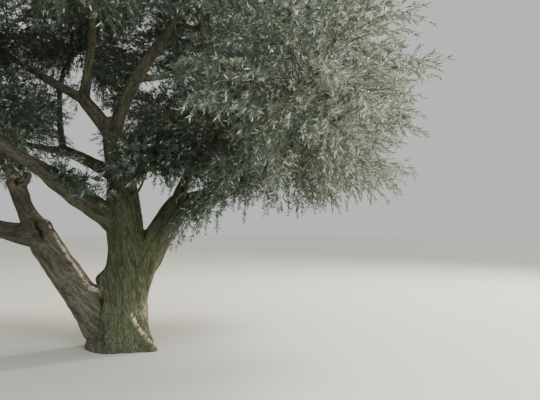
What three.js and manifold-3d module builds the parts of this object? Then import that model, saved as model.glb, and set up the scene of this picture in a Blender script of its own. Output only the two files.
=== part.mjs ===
// An old, open-grown olive tree, in millimetres, +Z up. The origin is the middle of the flat cut at ground level.
// +X is the side of the right-hand stem, and +Y is the far side as seen from the front.
// A short fluted trunk forks low into three: a stem that leans left, a centre stem and a stem that leans right.
// Limbs branch from those, and each outer limb ends in one mass of foliage: twigs that carry sprays of leaves.

import * as THREE from 'three';
import { ConvexGeometry } from 'three/addons/geometries/ConvexGeometry.js';
import { mergeVertices } from 'three/addons/utils/BufferGeometryUtils.js';
import Module from 'manifold-3d';

const wasm = await Module();
wasm.setup();

// Fit between neighbouring solids
const GAP = 0.3; // left between two solids that meet
const CELL_GAP = 4; // kept by foliage to the edge of its own space
const LIMB_GAP = 12; // kept by foliage to every limb

// Trunk
const TRUNK_HEIGHT = 2990;
const TRUNK_SIDES = 18;
const TRUNK_ROWS = 9;
const FLARE = 90; // how much wider the foot is than the waist
const FLARE_HEIGHT = 380; // height over which the flare dies away
const FLUTE_HEIGHT = 310; // height over which the root flutes die away
const BELOW_GROUND = 60; // made longer than this below the ground, then cut flat
const GROUND_CUT = 3000; // half-width of the block that makes that cut

// Root flutes: bearing in degrees and how far each stands out
const FLUTES = [
  { bearing: -24, out: 250 },
  { bearing: 62, out: 120 },
  { bearing: 128, out: 90 },
  { bearing: 205, out: 40 },
  { bearing: 262, out: 100 },
];

// Limbs
const SIZES = [
  { over: 150, faces: [12, 8] }, // sides and rows of a limb with a thicker root than this
  { over: 60, faces: [8, 5] },
  { over: 0, faces: [6, 4] },
];
const COLLAR = 0.22; // swelling of a limb's root where it leaves its parent
const DOME_ROWS = 2; // rows that round off a limb that forks

// Foliage
const SQUASH = 0.78; // height of a mass of foliage over its width
const ENTRY = 0.86; // a bough ends at this share of its mass's radius
const STEM_ROWS = 2;
const STEM_TIP = 26;
const BRANCHES = 6; // tried in each mass of full size
const BRANCH_REACH = [0.5, 0.72]; // as a share of the mass's radius
const BRANCH_ROOT = 28;
const BRANCH_TIP = 17;
const SPRAYS = 5; // places for them on each branch
const SPRAY_TRIES = 10; // at each place, until one fits
const SHORTER = 0.96; // each try's length over that of the try before
const SPRAY_LENGTH = [700, 920];
const SPRAY_WIDTH = 0.4; // of its length
const SPRAY_FOLD = 0.04; // how far its edges drop below its midrib, of its length
const SPRAY_WIDEST = 0.45; // where along its length
const SPRAY_TILT = 1.3; // how far it may turn about its own length, in radians
const SPRAY_SUNK = 12; // how far its root goes past the middle of its branch
const GOLDEN_ANGLE = Math.PI * (3 - Math.sqrt(5));
const FULL_SIZE = 1350; // radius of a full-sized mass

const BARK = { color: 0x5a5140, roughness: 0.92, metalness: 0 };
const LEAF = { color: 0x4c5641, roughness: 0.6, metalness: 0 };

// The masses of foliage: heart of each, and its radius measured level.
const MASSES = {
  left: { heart: [-3050, -250, 3050], radius: 1300 },
  left_middle: { heart: [-1700, -150, 2950], radius: 950 },
  left_back: { heart: [-2750, 1900, 3250], radius: 1300 },
  left_front: { heart: [-2000, -2050, 3900], radius: 1350 },
  centre_front: { heart: [500, -620, 2330], radius: 430 },
  front: { heart: [300, -2450, 4400], radius: 1350 },
  back: { heart: [250, 2600, 3250], radius: 1350 },
  right: { heart: [2750, 100, 2850], radius: 1350 },
  right_middle: { heart: [1400, 250, 3000], radius: 1200 },
  right_front: { heart: [2300, -1950, 3000], radius: 1300 },
  right_back: { heart: [2200, 2150, 2850], radius: 1350 },
  upper_left: { heart: [-2400, 350, 4450], radius: 1350 },
  upper_left_back: { heart: [-1150, 1950, 4600], radius: 1350 },
  upper_left_front: { heart: [-1050, -1100, 4900], radius: 1300 },
  upper_right: { heart: [2300, 250, 4550], radius: 1350 },
  upper_right_back: { heart: [1250, 2150, 4650], radius: 1350 },
  upper_right_front: { heart: [1300, -1450, 4750], radius: 1300 },
  top: { heart: [-400, 450, 5450], radius: 1250 },
  top_right: { heart: [950, 500, 5420], radius: 1200 },
};

// The limbs, each after the one that carries it. `from` and `at` give the parent and the share of its length where
// the limb leaves it. A limb that forks `goes` by its bearing round the vertical and its climb above level, in
// degrees, and its reach. An outer limb heads for the heart of the mass of foliage named by `to`, and ends where it
// enters it. `bow` is how far its middle is drawn off the straight line. `girth` holds the radii at its root and its
// far end, and a limb with a `hold` above 1 keeps its girth for longer before it narrows.
const LIMBS = {
  left_stem: {
    from: 'trunk', at: 0.04, goes: [182, 57, 2600], bow: [-120, 0, -40], girth: [205, 88], hold: 3,
  },
  right_stem: {
    from: 'trunk', at: 0.04, goes: [9, 66, 2060], bow: [-150, 20, 30], girth: [215, 150], hold: 2,
  },
  left_bough: { from: 'trunk', at: 0.51, goes: [197, 36, 1480], bow: [0, 0, 30], girth: [135, 88] },
  back_left_bough: { from: 'trunk', at: 0.72, goes: [150, 23, 1320], bow: [0, 0, 40], girth: [95, 68] },
  centre_left_bough: { from: 'trunk', at: 0.92, goes: [180, 50, 720], bow: [0, 0, 0], girth: [98, 80] },
  centre_right_bough: { from: 'trunk', at: 0.92, goes: [0, 58, 1790], bow: [-105, 0, 125], girth: [92, 66] },
  left_stub: { from: 'left_stem', at: 0.9, goes: [60, 62, 290], bow: [0, 0, 0], girth: [72, 52], cut: true },
  left_side_limb: { from: 'left_stem', at: 0.65, to: 'left', bow: [-60, 0, -420], girth: [134, 52] },
  left_top_limb: { from: 'left_stem', at: 0.94, to: 'left_middle', bow: [-60, 0, 0], girth: [84, 48] },
  left_front_limb: {
    from: 'left_bough', at: 0.92, to: 'left_front', bow: [-120, 120, -160], girth: [78, 40],
  },
  left_back_limb: { from: 'back_left_bough', at: 0.92, to: 'left_back', bow: [0, 0, -90], girth: [60, 36] },
  left_riser: {
    from: 'back_left_bough', at: 0.95, to: 'upper_left_back', bow: [-110, -260, 220], girth: [50, 34],
  },
  far_left_limb: { from: 'centre_left_bough', at: 0.88, to: 'upper_left', bow: [0, 0, -60], girth: [64, 38] },
  upright_limb: { from: 'centre_left_bough', at: 0.86, to: 'top', bow: [-10, 0, 0], girth: [70, 40] },
  front_limb: { from: 'upright_limb', at: 0.36, to: 'front', bow: [60, 0, 160], girth: [52, 34] },
  upper_left_front_limb: {
    from: 'upright_limb', at: 0.55, to: 'upper_left_front', bow: [0, 0, -60], girth: [44, 30],
  },
  upper_right_limb: {
    from: 'centre_right_bough', at: 0.92, to: 'upper_right', bow: [0, 0, -90], girth: [54, 36],
  },
  top_right_limb: {
    from: 'centre_right_bough', at: 0.88, to: 'top_right', bow: [-70, 0, 0], girth: [50, 34],
  },
  upper_right_front_limb: {
    from: 'centre_right_bough', at: 0.68, to: 'upper_right_front', bow: [60, 0, -90], girth: [48, 32],
  },
  upper_right_back_limb: {
    from: 'centre_right_bough', at: 0.42, to: 'upper_right_back', bow: [0, 60, -120], girth: [52, 34],
  },
  right_out_limb: { from: 'right_stem', at: 0.93, to: 'right', bow: [0, 0, -90], girth: [122, 52] },
  right_up_limb: { from: 'right_stem', at: 0.9, to: 'right_middle', bow: [-140, 0, 0], girth: [104, 50] },
  right_front_limb: {
    from: 'right_stem', at: 0.84, to: 'right_front', bow: [120, 60, -120], girth: [92, 44],
  },
  right_back_limb: { from: 'right_stem', at: 0.87, to: 'right_back', bow: [60, 0, -120], girth: [92, 46] },
  back_limb: { from: 'trunk', at: 0.8, to: 'back', bow: [0, 0, -140], girth: [82, 42] },
  centre_front_limb: { from: 'trunk', at: 0.62, to: 'centre_front', bow: [60, 0, -40], girth: [30, 18] },
};

const radians = THREE.MathUtils.degToRad;
const mix = THREE.MathUtils.lerp;
const point = (xyz) => new THREE.Vector3(...xyz);

// A curve from root to tip whose middle is drawn off the straight line by bow.
function bowed(root, tip, bow) {
  const middle = root.clone().add(tip).multiplyScalar(0.5).addScaledVector(bow, 2);
  return new THREE.QuadraticBezierCurve3(root, middle, tip);
}

// Direction of that curve at share t, from the derivative of its formula.
function heading(curve, t) {
  const leaving = curve.v1.clone().sub(curve.v0).multiplyScalar(1 - t);
  const arriving = curve.v2.clone().sub(curve.v1).multiplyScalar(t);
  return leaving.add(arriving).normalize();
}

// Any unit vector square to `along`.
function squareTo(along) {
  const other = Math.abs(along.z) < 0.9 ? new THREE.Vector3(0, 0, 1) : new THREE.Vector3(1, 0, 0);
  return other.cross(along).normalize();
}

// A closed tube round a curve. shares are its rows along the curve, radiusAt(t, angle) is its radius there, and
// each end is moved out along the curve by grow. It is a cylinder whose rows are carried to the curve.
function tube(curve, shares, sides, radiusAt, grow = 0) {
  const last = shares.length - 1;
  const geometry = new THREE.CylinderGeometry(1, 1, 1, sides, last);
  const frames = [];
  let across = squareTo(heading(curve, shares[0]));
  shares.forEach((t, row) => {
    const along = heading(curve, t);
    across = across.clone().addScaledVector(along, -across.dot(along)).normalize();
    const centre = curve.getPoint(t);
    if (row === 0) centre.addScaledVector(along, -grow);
    if (row === last) centre.addScaledVector(along, grow);
    frames.push({ centre, across, over: along.clone().cross(across) });
  });
  const places = geometry.getAttribute('position');
  for (let i = 0; i < places.count; i += 1) {
    const row = Math.round((places.getY(i) + 0.5) * last);
    const { centre, across: x, over: y } = frames[row];
    const angle = Math.atan2(-places.getZ(i), places.getX(i));
    const middle = Math.hypot(places.getX(i), places.getZ(i)) < 0.5;
    const radius = middle ? 0 : radiusAt(shares[row], angle) + grow;
    const place = centre.clone()
      .addScaledVector(x, radius * Math.cos(angle))
      .addScaledVector(y, radius * Math.sin(angle));
    places.setXYZ(i, place.x, place.y, place.z);
  }
  return geometry;
}

// The geometry as a manifold solid, with its shared corners merged.
function solidOf(geometry) {
  const bare = geometry.clone();
  bare.deleteAttribute('normal');
  bare.deleteAttribute('uv');
  const merged = mergeVertices(bare, 1e-3);
  return new wasm.Manifold(new wasm.Mesh({
    numProp: 3,
    vertProperties: new Float32Array(merged.getAttribute('position').array),
    triVerts: new Uint32Array(merged.index.array),
  }));
}

// The largest piece of a solid: loose scraps go, and a sealed hollow is filled.
function largest(solid) {
  return solid.decompose().reduce((best, piece) => (piece.volume() > best.volume() ? piece : best));
}

function geometryOf(solid) {
  const { numProp, vertProperties, triVerts } = solid.getMesh();
  const places = new Float32Array((vertProperties.length / numProp) * 3);
  for (let i = 0; i < places.length / 3; i += 1) {
    places.set(vertProperties.subarray(i * numProp, i * numProp + 3), i * 3);
  }
  return new THREE.BufferGeometry()
    .setAttribute('position', new THREE.BufferAttribute(places, 3))
    .setIndex(new THREE.BufferAttribute(triVerts, 1));
}

// A random source (the minimal standard generator) that always gives the same run for the same place on the tree:
// the numbers of a mass, of a branch in it, of a place along that and of a try there.
function diceFor(...numbers) {
  let state = numbers.reduce((sum, number) => sum * 64 + number + 1, 1);
  const roll = (low = 0, high = 1) => {
    state = (state * 48271) % 2147483647;
    return low + (high - low) * (state / 2147483647);
  };
  for (let i = 0; i < 3; i += 1) roll();
  return roll;
}

// Space of a mass: a flattened ball round its heart, less what lies nearer to another mass by the same measure.
const flattened = (v) => new THREE.Vector3(v.x, v.y, v.z / SQUASH);

// How far inside the space of a mass a place lies, at least. It is negative outside.
function depthIn(name, place) {
  const mine = MASSES[name];
  const here = flattened(place);
  const toMine = here.distanceTo(flattened(point(mine.heart)));
  let depth = mine.radius - toMine;
  Object.entries(MASSES).forEach(([other, { heart, radius }]) => {
    if (other === name) return;
    const theirs = flattened(point(heart));
    const apart = theirs.distanceTo(flattened(point(mine.heart)));
    const power = here.distanceToSquared(theirs) - radius ** 2 - toMine ** 2 + mine.radius ** 2;
    depth = Math.min(depth, power / (2 * apart));
  });
  return depth * SQUASH;
}

// Trunk
const trunkCurve = bowed(point([0, 0, -BELOW_GROUND]), point([-170, 0, TRUNK_HEIGHT]), point([175, 0, 0]));

// The angle round an upright tube starts at the front, a quarter turn before +X.
function trunkRadius(t, angle) {
  const height = Math.max(trunkCurve.getPoint(t).z, 0);
  const waist = mix(250, 112, t ** 2.5);
  const flutes = FLUTES.map(({ bearing, out }) => {
    const facing = Math.max(Math.cos(angle - Math.PI / 2 - radians(bearing)), 0);
    return out * facing ** 6 * Math.exp(-height / FLUTE_HEIGHT);
  });
  return waist + FLARE * Math.exp(-height / FLARE_HEIGHT) + flutes.reduce((a, b) => a + b);
}

// Rows of a limb that forks are spread evenly, with the last ones close together so that its end is a dome.
function domedShares(rows, domeShare) {
  const even = Array.from({ length: rows + 1 }, (_, i) => (1 - domeShare) * (i / rows));
  const dome = Array.from({ length: DOME_ROWS }, (_, i) => 1 - domeShare * (1 - (i + 1) / DOME_ROWS) ** 2);
  return [...even, ...dome];
}

// The radius factor that rounds the end: a quarter circle over the last domeShare of the length.
const domed = (t, domeShare) => Math.sqrt(Math.max(1 - ((t - 1 + domeShare) / domeShare) ** 2, 0.06));

const SKELETON = {
  trunk: { curve: trunkCurve, end: 1, radiusAt: trunkRadius, sides: TRUNK_SIDES, rows: TRUNK_ROWS, fork: true },
};

// The way from a limb's root to its tip, from its bearing, climb and reach.
function stride([bearing, climb, reach]) {
  const level = reach * Math.cos(radians(climb));
  const height = reach * Math.sin(radians(climb));
  return new THREE.Vector3(level * Math.cos(radians(bearing)), level * Math.sin(radians(bearing)), height);
}

// Works out a limb's curve, where it ends and its radius, from its row in the table.
function routed(limb) {
  const parent = SKELETON[limb.from];
  const root = parent.curve.getPoint(limb.at);
  const tip = limb.to ? point(MASSES[limb.to].heart) : root.clone().add(stride(limb.goes));
  const curve = bowed(root, tip, point(limb.bow));
  const length = curve.getLength();
  const [thick, thin] = limb.girth;
  let end = 1;
  if (limb.to) {
    const { radius } = MASSES[limb.to];
    const wanted = Math.max(radius * (1 - ENTRY) * SQUASH, thin + CELL_GAP);
    while (depthIn(limb.to, curve.getPoint(end - 0.01)) > wanted) end -= 0.01;
  }
  const radiusAt = (t) => {
    const collar = COLLAR * thick * Math.exp((-t * length) / (1.6 * thick));
    return mix(thick, thin, Math.min(t / end, 1) ** (limb.hold ?? 1)) + collar;
  };
  const [sides, rows] = SIZES.find(({ over }) => thick > over).faces;
  return { curve, end, radiusAt, sides, rows, fork: !limb.to && !limb.cut };
}

Object.entries(LIMBS).forEach(([name, limb]) => {
  SKELETON[name] = routed(limb);
});

// A limb as a closed geometry, a little larger all round if grow is given.
function limbGeometry({ curve, end, radiusAt, sides, rows, fork }, grow = 0) {
  const domeShare = radiusAt(end, 0) / curve.getLength();
  const even = Array.from({ length: rows + 1 }, (_, i) => end * (i / rows));
  const shares = fork ? domedShares(rows, domeShare) : even;
  const roundedRadius = (t, angle) => radiusAt(t, angle) * (fork && t > 1 - domeShare ? domed(t, domeShare) : 1);
  return tube(curve, shares, sides, roundedRadius, grow);
}

// The block of ground that cuts the foot flat.
function groundBlock() {
  const block = new THREE.BoxGeometry(2 * GROUND_CUT, 2 * GROUND_CUT, GROUND_CUT);
  return solidOf(block.translate(0, 0, -GROUND_CUT / 2));
}

// Every limb as a solid, each cut clear of the ones before it.
function limbSolids() {
  const ground = groundBlock();
  const earlier = [];
  const solids = {};
  Object.entries(SKELETON).forEach(([name, limb]) => {
    const whole = solidOf(limbGeometry(limb));
    const cut = earlier.reduce((left, other) => left.subtract(other), whole.subtract(ground));
    solids[name] = largest(cut);
    earlier.push(solidOf(limbGeometry(limb, GAP)));
  });
  return solids;
}

// The room that foliage leaves to the limbs: all of them together, each a little larger.
const LIMB_ROOM = Object.values(SKELETON)
  .map((limb) => solidOf(limbGeometry(limb, LIMB_GAP)))
  .reduce((whole, limb) => whole.add(limb));

// A spray that leaves a branch at a share of its length, turned outwards from the heart and drooping a little.
function turnedSpray({ root, tip, centre, share, atTip, size }, roll) {
  const length = roll(...SPRAY_LENGTH) * size;
  const along = tip.clone().sub(root).normalize();
  const across = squareTo(along).applyAxisAngle(along, roll(0, 2 * Math.PI));
  const spread = atTip ? roll(0, 0.3) : roll(0.6, 1.2);
  const from = root.clone().lerp(tip, share);
  const out = from.clone().sub(centre).normalize();
  const aim = along.addScaledVector(across, spread).addScaledVector(out, 0.45);
  aim.z -= roll(0.02, 0.25);
  aim.normalize();
  const to = from.clone().addScaledVector(aim, length);
  const flat = squareTo(aim).applyAxisAngle(aim, roll(-SPRAY_TILT, SPRAY_TILT));
  return { from, to, flat, length };
}

const meets = (solid, other) => solid.intersect(other).volume() > 0;

// Grows a mass by rule. Its stem goes on from the bough to the heart. Branches leave the stem for places spread
// evenly round the heart, and each carries sprays that turn outwards and droop a little.
function grown(name, limb, stem) {
  const mass = Object.keys(MASSES).indexOf(name);
  const { heart, radius } = MASSES[name];
  const centre = point(heart);
  const tries = Math.max(Math.round(BRANCHES * (radius / FULL_SIZE) ** 2), 5);
  const stemAt = (share) => limb.curve.getPoint(mix(limb.end, 1, share));
  const twigs = [];
  const blades = [];
  for (let i = 0; i < tries; i += 1) {
    const roll = diceFor(mass, i);
    const height = 1 - (2 * i + 1) / tries;
    const turn = i * GOLDEN_ANGLE + roll(0, 0.7);
    const level = Math.sqrt(1 - height ** 2);
    const way = new THREE.Vector3(level * Math.cos(turn), level * Math.sin(turn), height * SQUASH);
    const root = stemAt(roll(0.35, 0.98));
    let reach = radius * roll(...BRANCH_REACH);
    let tip = centre.clone().addScaledVector(way, reach);
    while (depthIn(name, tip) < 0.12 * radius && reach > 0.2 * radius) {
      reach *= 0.85;
      tip = centre.clone().addScaledVector(way, reach);
    }
    const twig = solidOf(twigGeometry(root, tip, BRANCH_ROOT, BRANCH_TIP));
    if (depthIn(name, root) > BRANCH_ROOT + CELL_GAP && !meets(twig, LIMB_ROOM)) {
      twigs.push({ i, root, tip, twig });
    }
  }
  const size = Math.min(radius / FULL_SIZE + 0.25, 1);
  for (let j = SPRAYS - 1; j >= 0; j -= 1) {
    twigs.forEach(({ i, root, tip, twig }) => {
      const others = [stem, ...blades, ...twigs.map((one) => one.twig).filter((one) => one !== twig)];
      for (let tried = 0; tried < SPRAY_TRIES; tried += 1) {
        const roll = diceFor(mass, i, j, tried);
        const atTip = j === SPRAYS - 1;
        const share = atTip ? 0.97 : (j + roll(0.8, 1.3)) / SPRAYS;
        const spray = turnedSpray({ root, tip, centre, share, atTip, size: size * SHORTER ** tried }, roll);
        const blade = solidOf(sprayGeometry(spray));
        const clear = [LIMB_ROOM, ...others].every((one) => !meets(blade, one));
        if (clear && insideSpace(name, spray)) {
          blades.push(blade);
          break;
        }
      }
    });
  }
  return [stem, ...twigs.map(({ twig }) => twig), ...blades];
}

// The two edges of a spray, at its widest.
function sprayEdges({ from, to, flat, length }) {
  const middle = from.clone().lerp(to, SPRAY_WIDEST);
  const under = flat.clone().cross(to.clone().sub(from)).normalize();
  middle.addScaledVector(under, SPRAY_FOLD * length);
  return [1, -1].map((side) => middle.clone().addScaledVector(flat, (side * SPRAY_WIDTH * length) / 2));
}

// Whether a spray stays in its mass's space. The space bulges everywhere, so its corners are enough.
function insideSpace(name, spray) {
  return [spray.from, spray.to, ...sprayEdges(spray)].every((corner) => depthIn(name, corner) > CELL_GAP);
}

// A spray of leaves as one blade folded along its midrib, with its root sunk in its branch.
function sprayGeometry(spray) {
  const root = spray.from.clone().addScaledVector(spray.to.clone().sub(spray.from).normalize(), -SPRAY_SUNK);
  return new ConvexGeometry([root, spray.to, ...sprayEdges(spray)]);
}

// A straight three-sided twig.
function twigGeometry(root, tip, thick, thin) {
  const line = bowed(root, tip, new THREE.Vector3());
  return tube(line, [0, 1], 3, (t) => mix(thick, thin, t));
}

// One mass of foliage as a solid: stem, branches and sprays fused together.
function massSolid(name, limb) {
  const bough = limb.radiusAt(limb.end, 0);
  const clear = limb.end + GAP / limb.curve.getLength();
  const rows = Array.from({ length: STEM_ROWS + 1 }, (_, i) => mix(clear, 1, i / STEM_ROWS));
  const stem = solidOf(tube(limb.curve, rows, 3, (t) => mix(bough, STEM_TIP, (t - clear) / (1 - clear))));
  return largest(grown(name, limb, stem).reduce((whole, piece) => whole.add(piece)));
}

function named(name, solid, look) {
  const mesh = new THREE.Mesh(geometryOf(solid), new THREE.MeshStandardMaterial(look));
  mesh.name = name;
  return mesh;
}

const tree = new THREE.Group();
Object.entries(limbSolids()).forEach(([name, solid]) => tree.add(named(name, solid, BARK)));

Object.entries(LIMBS).filter(([, limb]) => limb.to).forEach(([limbName, { to }]) => {
  tree.add(named(`foliage_${to}`, massSolid(to, SKELETON[limbName]), LEAF));
});

export default tree;
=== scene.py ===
"""The looks of an old olive tree, in metres, +Z up, with the middle of its foot at the origin.

Its trunk, stems and boughs get three skins of bark with fissures, flutes and hollows. Its masses of foliage grow on
from the boughs: branches, twigs and small narrow leaves. +X is the side of the right stem, and +Y is the far side.
"""

import itertools
import math

import bmesh
import bpy
import numpy as np
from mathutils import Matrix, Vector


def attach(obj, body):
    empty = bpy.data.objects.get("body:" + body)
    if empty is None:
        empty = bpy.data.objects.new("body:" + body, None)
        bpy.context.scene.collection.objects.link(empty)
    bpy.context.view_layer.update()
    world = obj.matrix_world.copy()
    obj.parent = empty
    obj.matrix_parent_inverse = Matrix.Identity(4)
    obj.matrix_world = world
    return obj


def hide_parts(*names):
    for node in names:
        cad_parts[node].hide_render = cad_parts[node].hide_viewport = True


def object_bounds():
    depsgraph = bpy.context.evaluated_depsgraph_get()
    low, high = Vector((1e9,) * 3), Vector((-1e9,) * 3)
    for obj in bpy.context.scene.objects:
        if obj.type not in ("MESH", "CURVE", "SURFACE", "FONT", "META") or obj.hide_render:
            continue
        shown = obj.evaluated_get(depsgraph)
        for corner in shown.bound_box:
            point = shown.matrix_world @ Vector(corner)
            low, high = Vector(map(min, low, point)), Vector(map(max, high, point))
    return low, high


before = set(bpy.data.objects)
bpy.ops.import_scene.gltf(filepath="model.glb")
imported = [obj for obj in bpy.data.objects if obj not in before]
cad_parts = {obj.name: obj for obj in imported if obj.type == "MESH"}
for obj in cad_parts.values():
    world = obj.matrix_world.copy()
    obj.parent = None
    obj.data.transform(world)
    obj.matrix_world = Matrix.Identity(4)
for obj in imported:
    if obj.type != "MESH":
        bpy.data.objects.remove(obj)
cad_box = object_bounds()

UP = np.array([0, 0, 1.0])

# Trunk
TRUNK_HEIGHT = 2.99
TRUNK_LEAN = -0.17  # its top's place along X
TRUNK_BOW = 0.175  # how far its middle is drawn to the right
WAIST = (0.25, 0.112)  # radius low down and at the fork
TRUNK_HOLD = 2.5  # how long it holds its girth
FLARE = 0.09  # how much wider the foot is than the waist
FLARE_HEIGHT = 0.38
FLUTE_HEIGHT = 0.31
BELOW_GROUND = 0.06
FLUTES = ((-24, 0.25), (62, 0.12), (128, 0.09), (205, 0.04), (262, 0.1))  # bearing and how far each stands out
FLUTE_SHARPNESS = 6

# Foliage
SQUASH = 0.78  # height of a mass of foliage over its width
ENTRY = 0.86  # a bough enters its mass at this share of the radius
ENTRY_STEP = 0.01  # in shares of the bough's length
CELL_GAP = 0.004  # least room between what grows in a mass and the edge of its space
FULL_SIZE = 1.35  # level radius of a mass that gets every branch
STEM_TIP = 0.026  # radius
# Kinds of branch: main ones, finer ones between them, and slim ones that fill the edge of the mass. Each has its piece
# of wood; how many a mass of full size tries, and how few at least; its reach and how near to the edge its tip may
# come, as shares of the mass's radius; how far its turn is shifted; its radii, sides and rings; and the first place
# with sprays, how many sprays a place keeps, their size, their shoots, and the leaves on each shoot.
BRANCHINGS = (
    {
        "wood": "main_branches", "count": 6, "least": 5, "reach": (0.5, 0.72), "edge": 0.12, "shift": 0.0,
        "girth": (0.017, 0.006), "mesh": (6, 7), "first": 0, "sprays": 2, "size": 1.0, "shoots": 13, "leaves": 16,
    },
    {
        "wood": "finer_branches", "count": 8, "least": 3, "reach": (0.3, 0.62), "edge": 0.12, "shift": 1.2,
        "girth": (0.01, 0.004), "mesh": (5, 6), "first": 0, "sprays": 1, "size": 0.9, "shoots": 12, "leaves": 16,
    },
    {
        "wood": "edge_branches", "count": 32, "least": 8, "reach": (0.62, 0.98), "edge": 0.05, "shift": 2.3,
        "girth": (0.008, 0.003), "mesh": (4, 4), "first": 2, "sprays": 1, "size": 0.55, "shoots": 8, "leaves": 14,
    },
)
DENSER = ("upper_left_back", "upper_right_back", "back")  # their main branches keep one more spray at each place
BRANCH_ROOM = 0.032  # depth of a branch's root in its mass, at least
BRANCH_ROOTS = (0.35, 0.98)  # where branches leave the stem, as shares of its way inside the mass
BRANCH_TURN = 0.7  # how far a branch is turned on, at most
DRAWN_IN = 0.85  # a branch that comes too near the edge gets this much of its reach, again and again
LEAST_REACH = 0.2  # as a share of the mass's radius
BRANCH_RISE = 0.05
BRANCH_MARKS = np.array([[0.5], [0.75], [1.0]])  # where along a branch its room is measured
CLEAR_OF_LIMBS = {"branch": 0.03, "spray": 0.05, "leaf": 0.01}  # least room from every limb
# Sprays. Their sizes are shares of their length, and their leans are over the way along their branch.
SPRAYS = 5  # places for sprays on each branch
SPRAY_SHIFT = (0.8, 1.3)  # how far on from its place's start a spray leaves the branch, in places
TIP_SHARE = 0.97  # where the last place is
SPRAY_TRIES = 10
SHORTER = 0.96  # each try's length over that of the try before
SPRAY_LENGTH = (0.7, 0.92)
SMALLER_BY = 0.25  # a mass may be smaller than full size by this share before its sprays get shorter
SPRAY_WIDTH = 0.4
SPRAY_FOLD = 0.04
SPRAY_WIDEST = 0.45
SPRAY_TILT = 1.3
SPRAY_LEAN = (0.6, 1.2)
TIP_SPRAY_LEAN = (0, 0.3)
SPRAY_OUTWARDS = 0.45
SPRAY_DROOP = (0.02, 0.25)
SPRAY_BOW = 0.07
SPRAY_GIRTH = (0.005, 0.002)
SPRAY_MESH = (3, 4)  # sides and rings
# Shoots, on the sprays. Their reach falls evenly from a spray's base to its tip, and the last goes nearly straight on.
SHOOT_ROOM = (0.9, 0.2)  # before the first shoot, and besides the steps between them, in steps
SHOOT_SHIFT = 0.02
FIRST_SHOOT = 0.05  # at least this far along its spray
SHOOT_ROLL = 0.9
SHOOT_LEAN = (0.55, 1.1)
SHOOT_DROOP = 0.35
SHOOT_REACH = (0.3, 0.165)
SHOOT_SIZES = (0.75, 1.2)
LAST_REACH = 0.16
LAST_LEAN = 0.15
SHOOT_BOW = 0.05
SHOOT_GIRTH = 0.0024
OVERREACH = 0.12  # how far a shoot may stand out of its mass's space
BOX_ROOM = 0.02  # how far it may stand out of the tree's box, as a share of the box
# Leaves, on the shoots
LEAF_LENGTH = 0.066
LEAF_WIDTH = 0.0168
LEAF_SIZES = (0.72, 1.2)
LEAF_SHIFT = 0.04
FIRST_LEAF = 0.06  # at least this far along its shoot
WHORLS = (0.25, 1.25)  # how far the first pair of leaves is turned round the shoot, and the next
WHORL_SHIFT = 0.5
LEAF_LEAN = (0.6, 1.2)
LEAF_ROLL = 0.7
GOLDEN_ANGLE = math.pi * (3 - math.sqrt(5))
SEED = 27
# Young sprays straight from the old limbs: the limb, the mass whose leaves they join, how many, between which shares
# of the limb's length, and their way
YOUNG_SPRAYS = (
    ("right_out_limb", "right_middle", 16, (0.02, 0.5), (0.15, -0.6, -0.45)),
    ("right_up_limb", "right_middle", 6, (0.1, 0.6), (0.3, -0.6, -0.1)),
    ("right_front_limb", "right_front", 16, (0.08, 0.6), (-0.1, -0.45, -0.4)),
    ("centre_right_bough", "upper_right", 6, (0.78, 1.0), (0.2, -0.6, 0.1)),
    ("centre_right_bough", "upper_right_back", 18, (0.25, 0.98), (-0.5, 0.7, 0.15)),
    ("top_right_limb", "top_right", 12, (0.05, 0.6), (-0.6, 0.45, 0.05)),
    ("upright_limb", "top", 18, (0.15, 0.7), (0.65, 0.5, 0.1)),
    ("upper_right_back_limb", "upper_right_back", 14, (0.4, 0.95), (-0.75, -0.1, 0.35)),
    ("left_riser", "upper_left_back", 8, (0.45, 0.95), (0.3, -0.6, 0.1)),
    ("left_top_limb", "left_middle", 8, (0.02, 0.6), (-0.1, -0.6, 0.1)),
    ("left_bough", "left_middle", 13, (0.3, 0.95), (0.5, -0.45, 0.2)),
)
YOUNG_KIND = 2
YOUNG_LENGTH = (0.32, 0.55)
YOUNG_STRAY = 0.35

# The masses of foliage: heart and level radius of each.
MASSES = {
    "left": ((-3.05, -0.25, 3.05), 1.3),
    "left_middle": ((-1.7, -0.15, 2.95), 0.95),
    "left_back": ((-2.75, 1.9, 3.25), 1.3),
    "left_front": ((-2.0, -2.05, 3.9), 1.35),
    "centre_front": ((0.5, -0.62, 2.33), 0.43),
    "front": ((0.3, -2.45, 4.4), 1.35),
    "back": ((0.25, 2.6, 3.25), 1.35),
    "right": ((2.75, 0.1, 2.85), 1.35),
    "right_middle": ((1.4, 0.25, 3.0), 1.2),
    "right_front": ((2.3, -1.95, 3.0), 1.3),
    "right_back": ((2.2, 2.15, 2.85), 1.35),
    "upper_left": ((-2.4, 0.35, 4.45), 1.35),
    "upper_left_back": ((-1.15, 1.95, 4.6), 1.35),
    "upper_left_front": ((-1.05, -1.1, 4.9), 1.3),
    "upper_right": ((2.3, 0.25, 4.55), 1.35),
    "upper_right_back": ((1.25, 2.15, 4.65), 1.35),
    "upper_right_front": ((1.3, -1.45, 4.75), 1.3),
    "top": ((-0.4, 0.45, 5.45), 1.25),
    "top_right": ((0.95, 0.5, 5.42), 1.2),
}
MASS_NAMES = list(MASSES)
HEARTS = np.array([heart for heart, _ in MASSES.values()])
RADII = np.array([radius for _, radius in MASSES.values()])

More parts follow.
